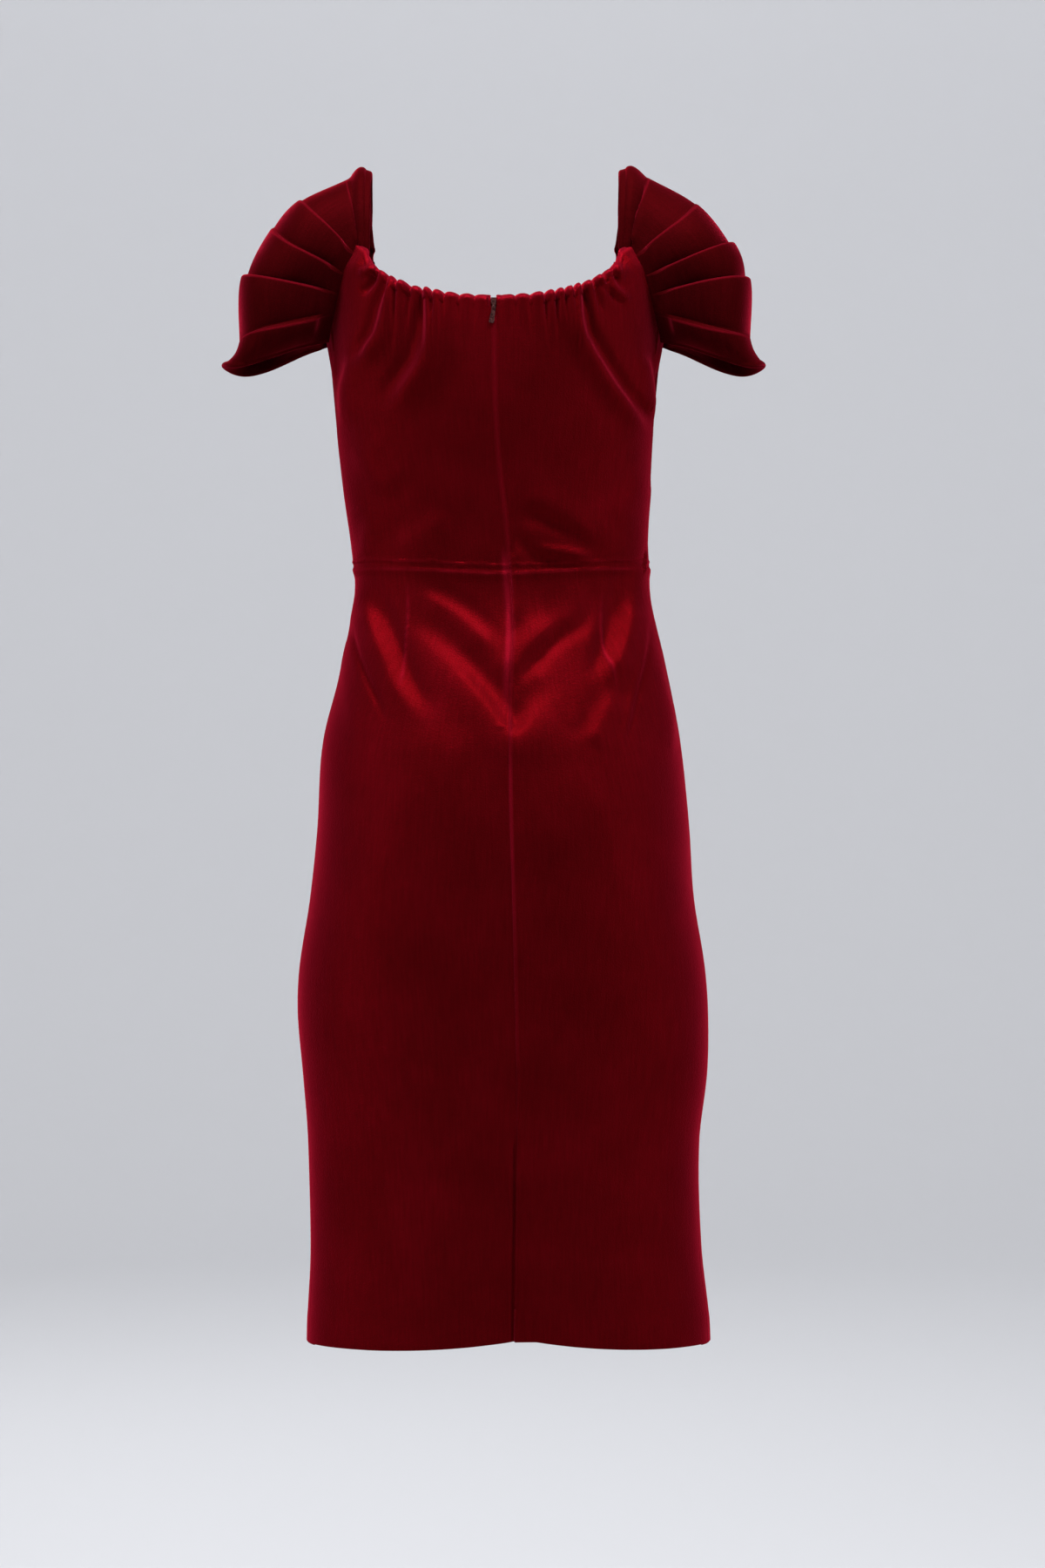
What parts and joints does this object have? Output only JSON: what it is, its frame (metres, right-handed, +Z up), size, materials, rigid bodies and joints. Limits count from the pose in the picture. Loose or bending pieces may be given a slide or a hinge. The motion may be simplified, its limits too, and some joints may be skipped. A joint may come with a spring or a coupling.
{
  "type": "mini dress",
  "caption": "Fitted knee-length velvet sheath dress, worn shape: gathered scoop neck, fan-pleated cap sleeves, waist seam, back zip with pull tab, back vent.",
  "frame": {"origin": "between the shoulders, on the level of the underside of the sleeves where they rest on the shoulders", "axes": "+Z up, the front of the dress faces -Y, +X is the wearer's left"},
  "size_m": [0.4624, 0.2302, 0.9968],
  "materials": {
    "velvet": "dark crimson stretch velvet with a soft pile",
    "zip_tape": "dark red woven tape with a closed coil",
    "zip_metal": "dark red enamelled zinc, satin"
  },
  "bodies": {
    "dress": {"bodice_front": "velvet", "bodice_back_left": "velvet", "bodice_back_right": "velvet", "skirt_front": "velvet", "skirt_back_left": "velvet", "skirt_back_right": "velvet", "sleeve_left": "velvet", "sleeve_right": "velvet", "zip_chain": "zip_tape", "zip_slider": "zip_metal"},
    "pull_tab": {"zip_pull": "zip_metal"}
  },
  "joints": [
    {"name": "zip_pull_swing", "type": "hinge", "parent": "dress", "child": "pull_tab", "pos_m": [0.00244, 0.08703, -0.1285], "axis": [0.9903, 0, 0.1392], "range_deg": [0, 150]}
  ]
}
